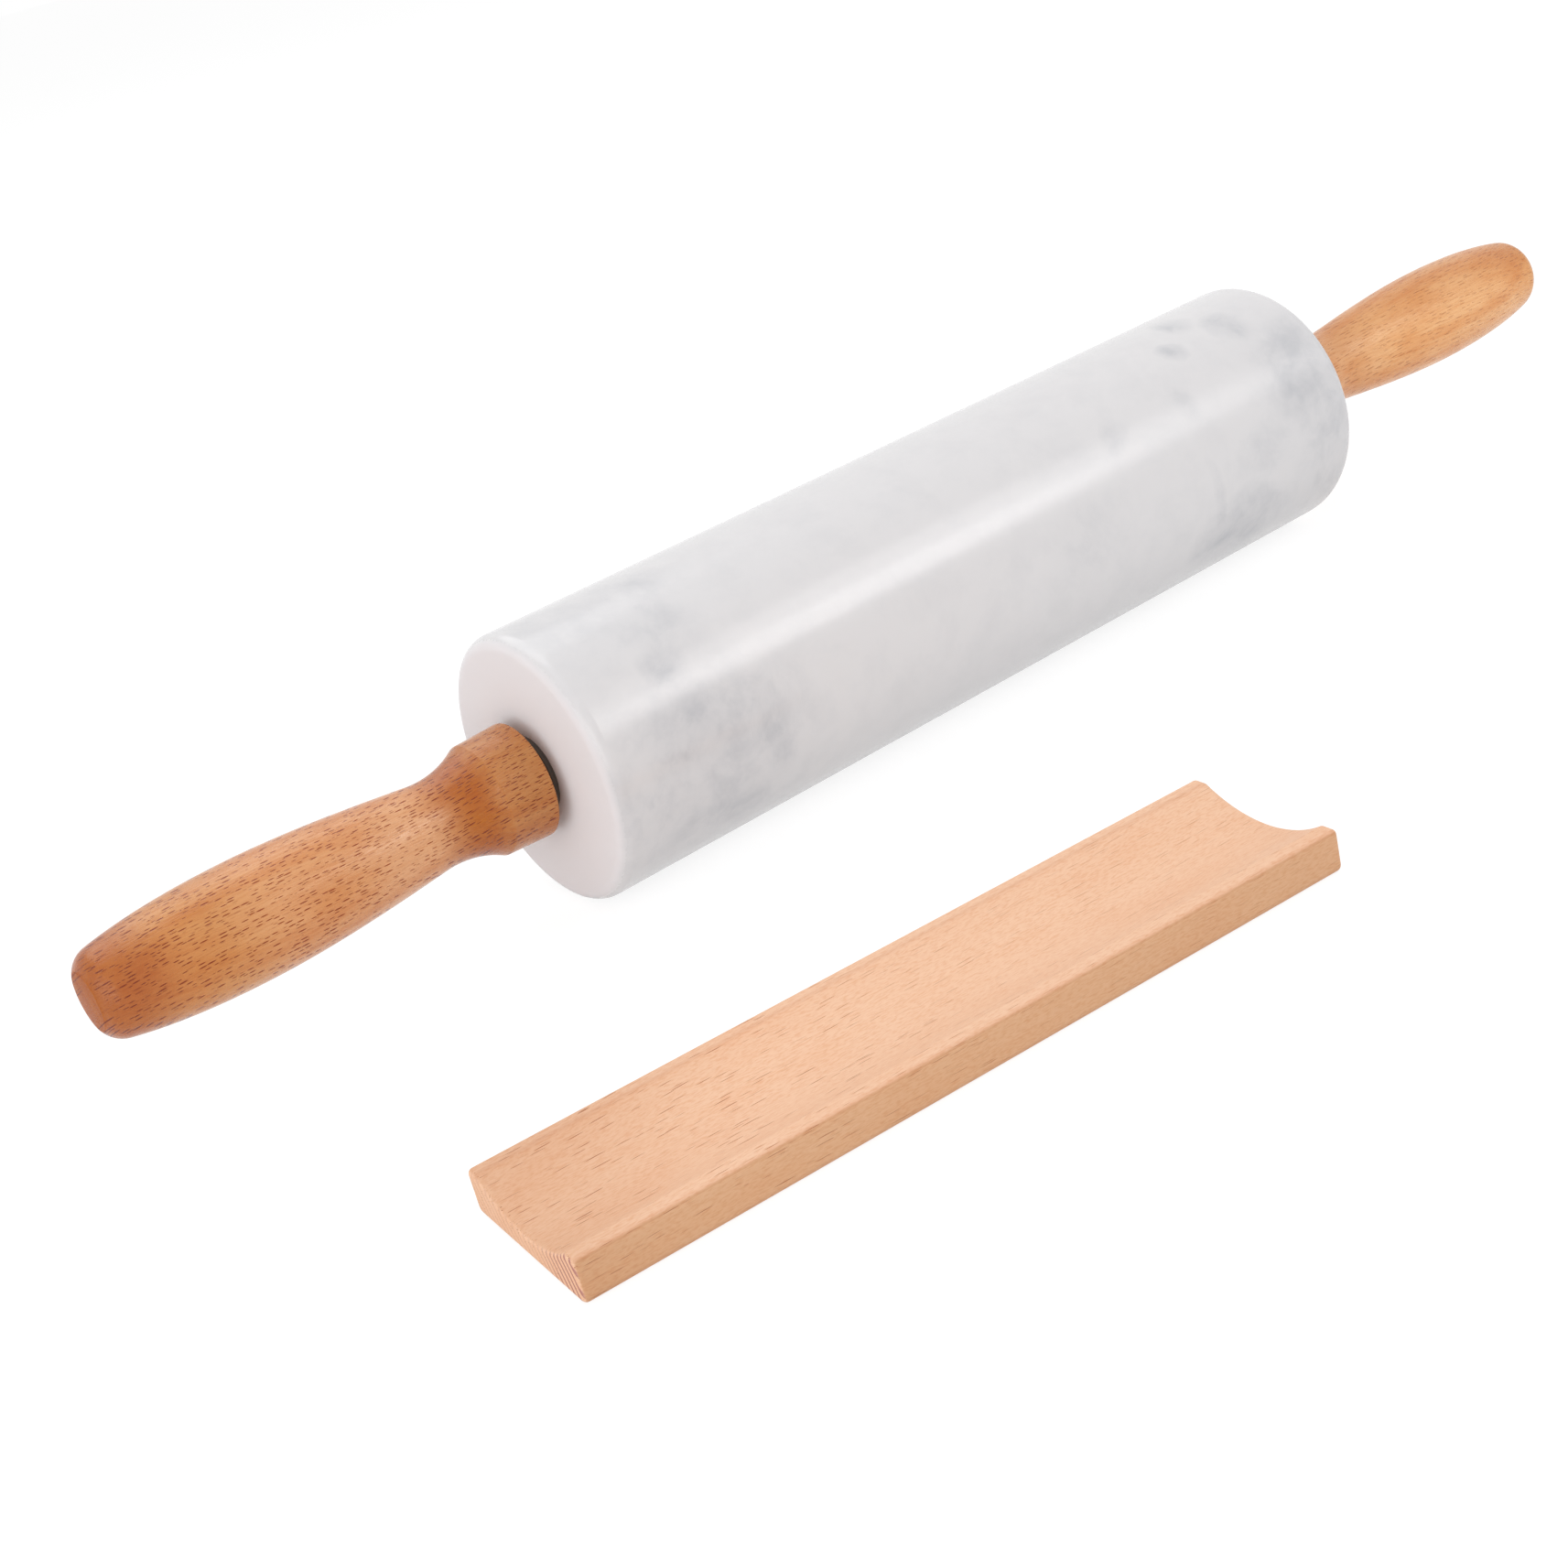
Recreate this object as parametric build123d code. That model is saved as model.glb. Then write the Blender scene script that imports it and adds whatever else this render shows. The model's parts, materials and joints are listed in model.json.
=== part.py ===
from build123d import *
import os
from math import sqrt

# A marble rolling pin with turned beech handles, and the beech cradle that stores it.
# Lengths are millimetres. The origin is the middle of the cradle's underside, which
# stands on the worktop. +X runs along the cradle and +Z is up. The pin lies on the
# worktop behind the cradle, turned a few degrees from it.

# Marble barrel
barrel_length = 238.0
barrel_diameter = 64.5
barrel_rim_radius = 2.6
barrel_bore_diameter = 14.0
barrel_bore_chamfer = 0.8

# Plastic bushes: the sleeve is pressed into the bore and the flange covers its mouth
bush_sleeve_length = 18.0
bush_flange_diameter = 18.0
bush_flange_thickness = 1.5
bush_lead_chamfer = 0.6
bush_flange_chamfer = 0.4

# Steel thrust washers
washer_diameter = 17.0
washer_thickness = 1.5
washer_chamfer = 0.3

# Steel axle: a plain journal, then at each end a relief groove and a threaded end
axle_diameter = 10.0
axle_thread_diameter = 8.0
axle_thread_length = 24.0
axle_thread_chamfer = 1.0
axle_relief_diameter = 6.6
axle_relief_width = 2.0

# Brass inserts, screwed flush into the handles and slotted for the driver
insert_diameter = 12.0
insert_length = 20.0
insert_lead_chamfer = 0.8
insert_slot_width = 2.0
insert_slot_depth = 1.6

# Beech handles: a collar that narrows a little to its ridge, a cove, a long swell and a
# rounded shoulder round the end. The lengths are measured from the collar's face.
handle_length = 106.1
handle_waist_station = 23.3
handle_waist_diameter = 19.8
handle_rise_angle = 6.3
handle_swell_station = 68.5
handle_swell_diameter = 26.2
handle_shoulder_length = 4.5
handle_shoulder_diameter = 20.4
handle_end_diameter = 13.4
handle_end_radius = 1.5
handle_end_dome = 0.25
handle_pilot_depth = 32.0
collar_length = 11.4
collar_face_diameter = 27.3
collar_ridge_diameter = 26.4
collar_face_chamfer = 0.4
collar_ridge_radius = 1.0

# How far along its run each end of the swell's curve keeps its heading, and how far
# from the swell to the shoulder the taper bends
curve_arm_share = 1 / 3
taper_bend_share = 0.6

# Beech cradle: a block with rounded edges and a trough along its whole length
cradle_length = 176.5
cradle_width = 42.0
cradle_height = 9.6
cradle_rim_width = 3.8
cradle_base_edge = 1.8
cradle_outer_edge = 1.2
cradle_inner_edge = 0.8
cradle_end_edge = 0.8

# Where the pin lies on the worktop, from the middle of the cradle's underside
pin_along = 102.0
pin_behind = 127.0
pin_yaw = 5.1

# Clearances, each on one side
journal_clearance = 0.05
washer_clearance = 0.15
thread_clearance = 0.05
seat_clearance = 0.02
pilot_clearance = 0.3
end_play = 0.3
trough_clearance = 2.1

# How close an edge has to be to the place where it is looked for
pick_tolerance = 0.001

# Radii and stations along the pin, worked out from the sizes above
barrel_radius = barrel_diameter / 2
barrel_bore_radius = barrel_bore_diameter / 2
bush_sleeve_radius = barrel_bore_radius - seat_clearance
bush_flange_radius = bush_flange_diameter / 2
axle_radius = axle_diameter / 2
thread_radius = axle_thread_diameter / 2
insert_radius = insert_diameter / 2
barrel_face = barrel_length / 2
bush_face = barrel_face + bush_flange_thickness
collar_face = bush_face + end_play + washer_thickness


def turn(*points):
    """Revolve a closed outline of straight lines about the X axis."""
    return revolve(make_face(Polyline(*points, close=True)), Axis.X)


def rims(solid, station, radius):
    """Find the circular edges of a turned solid by their station on X and their radius."""
    return [
        edge
        for edge in solid.edges().filter_by(GeomType.CIRCLE)
        if abs(edge.arc_center.X - station) < pick_tolerance
        and abs(edge.radius - radius) < pick_tolerance
    ]


def make_barrel():
    """Make the marble cylinder with its through bore and rounded rims."""
    barrel = turn(
        (-barrel_face, barrel_bore_radius),
        (-barrel_face, barrel_radius),
        (barrel_face, barrel_radius),
        (barrel_face, barrel_bore_radius),
    )
    for end in (-barrel_face, barrel_face):
        barrel = fillet(rims(barrel, end, barrel_radius), barrel_rim_radius)
        barrel = chamfer(rims(barrel, end, barrel_bore_radius), barrel_bore_chamfer)
    return barrel


def make_bush():
    """Make the right bush, with its flange against the end of the barrel."""
    hole_radius = axle_radius + journal_clearance
    inner_end = barrel_face - bush_sleeve_length
    bush = turn(
        (inner_end, hole_radius),
        (inner_end, bush_sleeve_radius),
        (barrel_face, bush_sleeve_radius),
        (barrel_face, bush_flange_radius),
        (bush_face, bush_flange_radius),
        (bush_face, hole_radius),
    )
    bush = chamfer(rims(bush, inner_end, bush_sleeve_radius), bush_lead_chamfer)
    return chamfer(rims(bush, bush_face, bush_flange_radius), bush_flange_chamfer)


def make_washer():
    """Make the right thrust washer, which lies against the handle's collar."""
    hole_radius = axle_radius + washer_clearance
    outer_radius = washer_diameter / 2
    inner_face = collar_face - washer_thickness
    washer = turn(
        (inner_face, hole_radius),
        (inner_face, outer_radius),
        (collar_face, outer_radius),
        (collar_face, hole_radius),
    )
    return chamfer(rims(washer, inner_face, outer_radius), washer_chamfer)


def make_axle():
    """Make the whole rod, with a shoulder, a relief groove and a threaded end each way."""
    relief_radius = axle_relief_diameter / 2
    relief_end = collar_face + axle_relief_width
    thread_end = collar_face + axle_thread_length
    half = turn(
        (0, 0),
        (0, axle_radius),
        (collar_face, axle_radius),
        (collar_face, relief_radius),
        (relief_end, relief_radius),
        (relief_end, thread_radius),
        (thread_end, thread_radius),
        (thread_end, 0),
    )
    half = chamfer(rims(half, thread_end, thread_radius), axle_thread_chamfer)
    return half + mirror(half, Plane.YZ)


def make_insert():
    """Make the right threaded insert, with its slotted face flush with the collar."""
    hole_radius = thread_radius + thread_clearance
    insert_end = collar_face + insert_length
    insert = turn(
        (collar_face, hole_radius),
        (collar_face, insert_radius),
        (insert_end, insert_radius),
        (insert_end, hole_radius),
    )
    insert = chamfer(rims(insert, insert_end, insert_radius), insert_lead_chamfer)
    slot = Box(2 * insert_slot_depth, 2 * insert_diameter, insert_slot_width)
    return insert - Pos(collar_face, 0, 0) * slot


def turned_outline():
    """Draw half of the right handle's outline, from the collar's face round to the end."""
    mouth = (collar_face, collar_face_diameter / 2)
    ridge = (collar_face + collar_length, collar_ridge_diameter / 2)
    waist = (collar_face + handle_waist_station, handle_waist_diameter / 2)
    swell = (collar_face + handle_swell_station, handle_swell_diameter / 2)
    handle_end = collar_face + handle_length
    shoulder = (handle_end - handle_shoulder_length, handle_shoulder_diameter / 2)
    rim = (handle_end - handle_end_dome, handle_end_diameter / 2)

    # The cove is an arc from the ridge through the waist, and the swell's curve leaves it
    # where it has turned to the angle at which the handle rises
    cove_rise = ridge[1] - waist[1]
    cove_radius = ((waist[0] - ridge[0]) ** 2 + cove_rise**2) / (2 * cove_rise)
    heading = Vector(1, 0).rotate(Axis.Z, handle_rise_angle)
    meeting = Vector(waist[0], waist[1] + cove_radius) + Vector(heading.Y, -heading.X) * cove_radius
    arm = curve_arm_share * (swell[0] - meeting.X)
    taper_bend = (swell[0] + taper_bend_share * (shoulder[0] - swell[0]), swell[1])

    return Wire(
        [
            Line((collar_face, 0), mouth),
            Line(mouth, ridge),
            ThreePointArc(ridge, waist, meeting),
            Bezier(meeting, meeting + heading * arm, (swell[0] - arm, swell[1]), swell),
            Bezier(swell, taper_bend, shoulder),
            TangentArc(shoulder, rim, tangent=Vector(shoulder) - Vector(taper_bend)),
            TangentArc((handle_end, 0), rim, tangent=(0, 1)),
            Line((handle_end, 0), (collar_face, 0)),
        ]
    )


def make_handle():
    """Make the right handle: turned, eased at its edges, bored for the insert and the axle."""
    ridge_station = collar_face + collar_length
    rim_station = collar_face + handle_length - handle_end_dome
    handle = revolve(make_face(turned_outline()), Axis.X)
    handle = chamfer(rims(handle, collar_face, collar_face_diameter / 2), collar_face_chamfer)
    handle = fillet(rims(handle, ridge_station, collar_ridge_diameter / 2), collar_ridge_radius)
    handle = fillet(rims(handle, rim_station, handle_end_diameter / 2), handle_end_radius)
    seat_radius = insert_radius + seat_clearance
    pilot_radius = thread_radius + pilot_clearance
    insert_end = collar_face + insert_length
    pilot_end = collar_face + handle_pilot_depth
    bore = turn(
        (collar_face, 0),
        (collar_face, seat_radius),
        (insert_end, seat_radius),
        (insert_end, pilot_radius),
        (pilot_end, pilot_radius),
        (pilot_end, 0),
    )
    return handle - bore


def corners(section, across, up):
    """Find the two corners of the cradle's section at one height and so far from its middle."""
    return [
        corner
        for corner in section.vertices()
        if abs(abs(corner.X) - across) < pick_tolerance and abs(corner.Y - up) < pick_tolerance
    ]


def make_cradle():
    """Make the block with the scooped trough, from its section across the grain."""
    half_width = cradle_width / 2
    trough_half_width = half_width - cradle_rim_width
    trough_radius = barrel_radius + trough_clearance
    trough_centre = cradle_height + sqrt(trough_radius**2 - trough_half_width**2)
    section = Pos(0, cradle_height / 2) * Rectangle(cradle_width, cradle_height)
    section = section - Pos(0, trough_centre) * Circle(trough_radius)
    section = fillet(corners(section, half_width, 0), cradle_base_edge)
    section = fillet(corners(section, half_width, cradle_height), cradle_outer_edge)
    section = fillet(corners(section, trough_half_width, cradle_height), cradle_inner_edge)
    cradle = extrude(Plane.YZ * section, cradle_length / 2, both=True)
    return fillet(cradle.faces().filter_by(Axis.X).edges(), cradle_end_edge)


def export(node, piece):
    """Write one piece to the file that bears its node's name."""
    piece.label = node
    export_step(piece, f"parts/{node}.step")


def main():
    """Make every piece, lay the pin in its place and write the files."""
    os.makedirs("parts", exist_ok=True)
    pin_place = Pos(pin_along, pin_behind, barrel_radius) * Rot(0, 0, pin_yaw)
    export("cradle", make_cradle())
    export("marble_barrel", pin_place * make_barrel())
    export("axle", pin_place * make_axle())
    paired = {
        "bush": make_bush,
        "thrust_washer": make_washer,
        "threaded_insert": make_insert,
        "handle": make_handle,
    }
    for name, make in paired.items():
        right = make()
        export(f"{name}_right", pin_place * right)
        export(f"{name}_left", pin_place * mirror(right, Plane.YZ))


main()
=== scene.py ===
import json
import logging
from dataclasses import dataclass, replace
from enum import Enum
from math import atan2, cos, pi, radians, sin, sqrt

import bmesh
import bpy
import numpy as np
from mathutils import Matrix, Vector


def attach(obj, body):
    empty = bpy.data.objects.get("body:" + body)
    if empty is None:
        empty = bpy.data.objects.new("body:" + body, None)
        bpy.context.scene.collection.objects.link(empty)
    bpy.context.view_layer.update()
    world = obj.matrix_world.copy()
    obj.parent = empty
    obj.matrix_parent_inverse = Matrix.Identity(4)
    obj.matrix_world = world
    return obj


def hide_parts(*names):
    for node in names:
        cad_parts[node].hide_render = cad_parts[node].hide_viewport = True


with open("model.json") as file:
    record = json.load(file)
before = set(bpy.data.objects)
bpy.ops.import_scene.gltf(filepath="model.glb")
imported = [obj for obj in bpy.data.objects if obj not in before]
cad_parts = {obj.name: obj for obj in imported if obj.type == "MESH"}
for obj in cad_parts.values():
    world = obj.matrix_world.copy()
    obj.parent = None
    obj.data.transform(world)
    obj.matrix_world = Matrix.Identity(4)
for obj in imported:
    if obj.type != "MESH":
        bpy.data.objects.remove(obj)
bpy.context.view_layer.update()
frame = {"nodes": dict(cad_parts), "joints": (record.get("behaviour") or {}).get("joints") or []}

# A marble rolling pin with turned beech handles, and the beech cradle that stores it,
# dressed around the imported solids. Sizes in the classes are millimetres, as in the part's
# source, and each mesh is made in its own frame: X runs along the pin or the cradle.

log = logging.getLogger("rolling_pin")

MM = 0.001

# Two points closer than this, in millimetres, are one
SAME_POINT = 1e-5

# The range of a share, a mask or a noise
WHOLE = (0.0, 1.0)

Point = tuple[float, float]
Span = tuple[float, float]
Triple = tuple[float, float, float]
Tree = bpy.types.NodeTree
Node = bpy.types.Node


def linear(code: str) -> tuple[float, float, float, float]:
    """Turn an sRGB hex colour into the linear colour that Blender's nodes hold.

    Args:
        code: The colour, such as "#E6E4E5".

    Returns:
        Red, green and blue in linear light, and full alpha.
    """
    toe, slope, offset, power = 0.04045, 12.92, 0.055, 2.4
    parts = [int(code[place : place + 2], 16) / 255 for place in (1, 3, 5)]
    red, green, blue = (
        part / slope if part <= toe else ((part + offset) / (1 + offset)) ** power
        for part in parts
    )
    return red, green, blue, 1.0


def add(tree: Tree, kind: str, inputs: dict | None = None, **settings) -> Node:
    """Add one node with its settings, and fill or link its inputs.

    Args:
        tree: The tree that the node goes into.
        kind: Blender's name for the type of node, after "ShaderNode".
        inputs: A value, a socket or a node for each input, by the input's name or number.
            A node stands for the first of its outputs that is in use.
        **settings: The node's own settings.

    Returns:
        The new node.
    """
    node = tree.nodes.new("ShaderNode" + kind)
    for key, value in settings.items():
        setattr(node, key, value)
    for key, value in (inputs or {}).items():
        named = [socket for socket in node.inputs if socket.enabled and socket.name == key]
        socket = named[0] if named else node.inputs[key]
        if isinstance(value, Node):
            value = next(output for output in value.outputs if output.enabled)
        if isinstance(value, bpy.types.NodeSocket):
            tree.links.new(value, socket)
        else:
            socket.default_value = value
    return node


def spans(before: Span, after: Span = WHOLE) -> dict[str, float]:
    """Name the two ranges of a node that turns values from one into the other.

    Args:
        before: The range that the value comes in.
        after: The range that it goes out in.

    Returns:
        The ends of both ranges, by the node's names for them.
    """
    names = ("From Min", "From Max", "To Min", "To Max")
    return dict(zip(names, before + after))


def tinted(tree: Tree, colour: Node | tuple, layers: list[tuple[Node, str]]) -> Node:
    """Lay tints over a colour, one on the other, as thin glazes are.

    Args:
        tree: The material's tree.
        colour: The colour that they go over.
        layers: For each tint, the node that says where it lies, and its hex colour.

    Returns:
        A node that gives the colour under all of its tints.
    """
    for mask, tint in layers:
        inputs = {"Factor": mask, "A": colour, "B": linear(tint)}
        colour = add(tree, "Mix", inputs, data_type="RGBA", blend_type="MULTIPLY")
    return colour


def emptied(holder: bpy.types.Material | bpy.types.World) -> Tree:
    """Make a material or a world ready for its own nodes.

    Args:
        holder: The material or the world.

    Returns:
        Its node tree, with nothing in it.
    """
    holder.use_nodes = True
    holder.node_tree.nodes.clear()
    return holder.node_tree


@dataclass(frozen=True)
class Run:
    """One stretch of an outline, with the solid on the right of its heading.

    Attributes:
        points: The points along it, one row each.
        inward: The unit directions into the solid at those points.
        flat: True for a straight run.
    """

    points: np.ndarray
    inward: np.ndarray
    flat: bool = False


def straight(start: Point, end: Point) -> Run:
    """Draw a straight run.

    Args:
        start: Its first point.
        end: Its last point.

    Returns:
        The run.
    """
    points = np.array([start, end], float)
    heading = (points[1] - points[0]) / np.linalg.norm(points[1] - points[0])
    inward = (heading[1], -heading[0])
    return Run(points, np.array([inward, inward]), flat=True)


def chain(*points: Point) -> list[Run]:
    """Draw a straight run from each point to the next."""
    return [straight(start, end) for start, end in zip(points, points[1:])]


def arc(centre: Point, radius: float, start: float, end: float, steps: int) -> Run:
    """Draw an arc.

    Args:
        centre: The middle of its circle.
        radius: The circle's radius.
        start: The angle of its first point, in radians.
        end: The angle of its last point, less than start where the arc is convex.
        steps: How many chords it has.

    Returns:
        The run.
    """
    angles = np.linspace(start, end, steps + 1)
    spokes = np.stack([np.cos(angles), np.sin(angles)], axis=1)
    return Run(np.array(centre) + spokes * radius, spokes * np.sign(end - start))


def curve(controls: list[Point], steps: int) -> Run:
    """Draw a Bezier curve.

    Args:
        controls: Its control points.
        steps: How many chords it has.

    Returns:
        The run.
    """
    points, inward = [], []
    for share in np.linspace(0, 1, steps + 1):
        hull = np.array(controls, float)
        while len(hull) > 2:
            hull = hull[:-1] * (1 - share) + hull[1:] * share
        heading = (hull[1] - hull[0]) / np.linalg.norm(hull[1] - hull[0])
        points.append(hull[0] * (1 - share) + hull[1] * share)
        inward.append((heading[1], -heading[0]))
    return Run(np.array(points), np.array(inward))


def touching(before: Point, start: Point, end: Point, steps: int) -> Run:
    """Draw a convex arc that goes on smoothly from the line that comes into its start.

    Args:
        before: A point on the line.
        start: The arc's first point, where the line touches it.
        end: The arc's last point.
        steps: How many chords it has.

    Returns:
        The run.
    """
    line = (Vector(start) - Vector(before)).normalized()
    inward, chord = Vector((line.y, -line.x)), Vector(end) - Vector(start)
    radius = chord.length_squared / (2 * chord.dot(inward))
    centre = Vector(start) + inward * radius
    first, last = (atan2(point[1] - centre.y, point[0] - centre.x) for point in (start, end))
    return arc(centre, radius, first, last, steps)


def dome(rim: Point, top: float, steps: int) -> Run:
    """Draw the shallow arc from a rim to the axis, which it meets squarely.

    Args:
        rim: The arc's first point.
        top: The station where it reaches the axis.
        steps: How many chords it has.

    Returns:
        The run.
    """
    rise = top - rim[0]
    radius = (rim[1] ** 2 + rise**2) / (2 * rise)
    centre = (top - radius, 0.0)
    return arc(centre, radius, atan2(rim[1], rim[0] - centre[0]), 0.0, steps)


def rounded(before: Run, after: Run, radius: float, steps: int = 9) -> tuple[Run, Run, Run]:
    """Round the corner between two runs with an arc that touches both.

    Args:
        before: The run that comes into the corner.
        after: The run that leaves it.
        radius: The arc's radius.
        steps: How many chords the arc has.

    Returns:
        The first run up to the arc, the arc, and the second run from the arc on.

    Raises:
        ValueError: If no arc of that radius touches both runs.
    """
    parallel = 1e-12
    first = before.points + before.inward * radius
    second = after.points + after.inward * radius
    for i in range(len(first) - 1, 0, -1):
        for j in range(1, len(second)):
            sides = np.array([first[i] - first[i - 1], second[j - 1] - second[j]]).T
            if abs(np.linalg.det(sides)) < parallel:
                continue
            one, other = np.linalg.solve(sides, second[j - 1] - first[i - 1])
            if min(one, other) < 0 or max(one, other) > 1:
                continue
            centre = first[i - 1] + one * (first[i] - first[i - 1])
            come = before.inward[i - 1] * (1 - one) + before.inward[i] * one
            go = after.inward[j - 1] * (1 - other) + after.inward[j] * other
            start = atan2(-come[1], -come[0])
            end = atan2(-go[1], -go[0])
            bend = arc(centre, radius, start, end if end < start else end - 2 * pi, steps)
            shorter = Run(
                np.vstack([before.points[:i], bend.points[:1]]),
                np.vstack([before.inward[:i], bend.inward[:1]]),
                before.flat,
            )
            later = Run(
                np.vstack([bend.points[-1:], after.points[j:]]),
                np.vstack([bend.inward[-1:], after.inward[j:]]),
                after.flat,
            )
            return shorter, bend, later
    raise ValueError("no arc of this radius touches both runs")


def traced(runs: list[Run], radii: list[float]) -> tuple[np.ndarray, np.ndarray]:
    """Round the corners of an outline and join its runs.

    A straight run gets a guard point close to each of its ends, at most a third of the way
    along, which keeps the shading of a flat face flat beside a rounded edge.

    Args:
        runs: The runs in order.
        radii: The radius of the corner after each run, zero for a sharp one. A radius after
            the last run rounds the corner where a closed outline starts.

    Returns:
        The outline's points, and the directions into the solid there.
    """
    guard, most = 0.15, 1 / 3
    runs = list(runs)
    bends: dict[int, Run] = {}
    for place, radius in enumerate(radii):
        if radius:
            after = (place + 1) % len(runs)
            runs[place], bends[place], runs[after] = rounded(runs[place], runs[after], radius)
    points: list[np.ndarray] = []
    inward: list[np.ndarray] = []
    for place, run in enumerate(runs):
        steps, sides = run.points, run.inward
        if run.flat:
            reach = np.linalg.norm(steps[1] - steps[0])
            near = (steps[1] - steps[0]) * min(guard / reach, most)
            steps = np.array([steps[0], steps[0] + near, steps[1] - near, steps[1]])
            sides = np.repeat(sides, 2, axis=0)
        if place in bends:
            steps = np.vstack([steps, bends[place].points])
            sides = np.vstack([sides, bends[place].inward])
        for point, side in zip(steps, sides):
            if not points or np.linalg.norm(point - points[-1]) > SAME_POINT:
                points.append(point)
                inward.append(side)
    if np.linalg.norm(points[0] - points[-1]) < SAME_POINT:
        points.pop()
        inward.pop()
    return np.array(points), np.array(inward)


def shaped(name: str, form: bmesh.types.BMesh, place: Matrix) -> bpy.types.Object:
    """Make an object with smooth faces and crisp corners from a finished mesh form.

    Its place is in its mesh, as a CAD node's is.

    Args:
        name: The piece's name.
        form: The mesh form, in metres, in the piece's own frame.
        place: Where the piece's frame lies in the row frame.

    Returns:
        The object.
    """
    weld, crisp = 2e-6, radians(34)
    bmesh.ops.remove_doubles(form, verts=form.verts, dist=weld)
    bmesh.ops.recalc_face_normals(form, faces=form.faces)
    mesh = bpy.data.meshes.new(name)
    form.to_mesh(mesh)
    form.free()
    mesh.transform(place)
    mesh.polygons.foreach_set("use_smooth", [True] * len(mesh.polygons))
    mesh.set_sharp_from_angle(angle=crisp)
    piece = bpy.data.objects.new(name, mesh)
    bpy.context.scene.collection.objects.link(piece)
    return piece


def skin(form: bmesh.types.BMesh, rings: list[list[bmesh.types.BMVert]]) -> None:
    """Join rings of points with faces, each ring with the next.

    Args:
        form: The mesh form that the points are in.
        rings: The points round each ring. A ring on the axis is one point over and over.
    """
    for near, far in zip(rings, rings[1:]):
        for step in range(len(near)):
            after = (step + 1) % len(near)
            corners = [near[step], near[after], far[after], far[step]]
            form.faces.new(list(dict.fromkeys(corners)))


def turned(name: str, outline: np.ndarray, place: Matrix, closed: bool) -> bpy.types.Object:
    """Turn an outline about the X axis, as on a lathe.

    Args:
        name: The piece's name.
        outline: Station and radius of each point.
        place: Where the piece's frame lies in the row frame.
        closed: True for an outline that goes round a bore and comes back to its start.

    Returns:
        The object.
    """
    sides = 192
    turns = [2 * pi * step / sides for step in range(sides)]
    form = bmesh.new()
    rings = []
    for station, radius in outline * MM:
        if radius < SAME_POINT * MM:
            rings.append([form.verts.new((station, 0, 0))] * sides)
        else:
            spots = [(station, radius * cos(turn), radius * sin(turn)) for turn in turns]
            rings.append([form.verts.new(spot) for spot in spots])
    if closed:
        rings.append(rings[0])
    skin(form, rings)
    return shaped(name, form, place)


class Body(Enum):
    """The bodies that the pieces ride on."""

    CRADLE = "cradle"
    SPINDLE = "spindle"
    BARREL = "barrel"


class End(Enum):
    """The two ends of the pin. The left one is near the camera."""

    LEFT = "left"
    RIGHT = "right"


@dataclass(frozen=True)
class Finish:
    """A real material and the way its surface was made.

    Attributes:
        title: The material's name.
        point: Where the piece's own frame starts in the row frame, in metres.
        yaw: How far the piece's own frame is turned about Z, in radians.
    """

    title: str = ""
    point: Triple = (0.0, 0.0, 0.0)
    yaw: float = 0.0

    def on(self, place: Matrix) -> "Finish":
        """Give this finish with its patterns laid in a piece's own frame."""
        return replace(self, point=tuple(place.translation), yaw=place.to_euler().z)

    def material(self) -> bpy.types.Material:
        """Make the material with its shader.

        Returns:
            The material, ready for a piece.
        """
        material = bpy.data.materials.new(self.title)
        tree = emptied(material)
        source = add(tree, "TexCoord")
        inputs = {
            "Vector": source.outputs["Object"],
            "Location": self.point,
            "Rotation": (0.0, 0.0, self.yaw),
            "Scale": (MM, MM, MM),
        }
        where = add(tree, "Mapping", inputs, vector_type="TEXTURE")
        shader = add(tree, "BsdfPrincipled", self.sockets(tree, where, source))
        add(tree, "OutputMaterial", {"Surface": shader})
        return material

    def sockets(self, tree: Tree, where: Node, source: Node) -> dict:
        """Make the patterns and give the shader's inputs. Each finish has its own.

        Args:
            tree: The material's tree.
            where: The shaded point in the pattern's frame, in millimetres.
            source: The texture coordinates, for the surface's own direction.

        Returns:
            A value, a socket or a node for each of the shader's inputs.
        """
        raise NotImplementedError


def squareness(tree: Tree, source: Node, yaw: float, shares: Span) -> Node:
    """Tell how squarely a surface cuts across the piece's own X axis.

    Args:
        tree: The material's tree.
        source: The texture coordinates, for the surface's own direction.
        yaw: How far the piece's own frame is turned about Z, in radians.
        shares: The share of a square cut below which it counts as none, and the share above
            which it counts as square.

    Returns:
        A node that gives 0 along the axis and 1 square across it.
    """
    inputs = {0: source.outputs["Normal"], 1: (cos(yaw), sin(yaw), 0.0)}
    facing = add(tree, "VectorMath", inputs, operation="DOT_PRODUCT")
    slope = add(tree, "Math", {0: facing}, operation="ABSOLUTE")
    inputs = {"Value": slope} | spans(shares)
    return add(tree, "MapRange", inputs, interpolation_type="SMOOTHSTEP")


@dataclass(frozen=True)
class Cloud:
    """A grey patch in the marble: one of the stone's clouds, or a broad patch of painted shade.

    Attributes:
        station: How far its middle is from the barrel's middle.
        lift: How far round it is from the front, in degrees, positive upwards.
        length: Its half length along the barrel.
        breadth: Its half width round and into the barrel.
        lean: How far it is turned in the surface, in degrees.
        depth: How grey it is, from 0 to 1.
    """

    station: float
    lift: float
    length: float
    breadth: float
    lean: float
    depth: float


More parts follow.
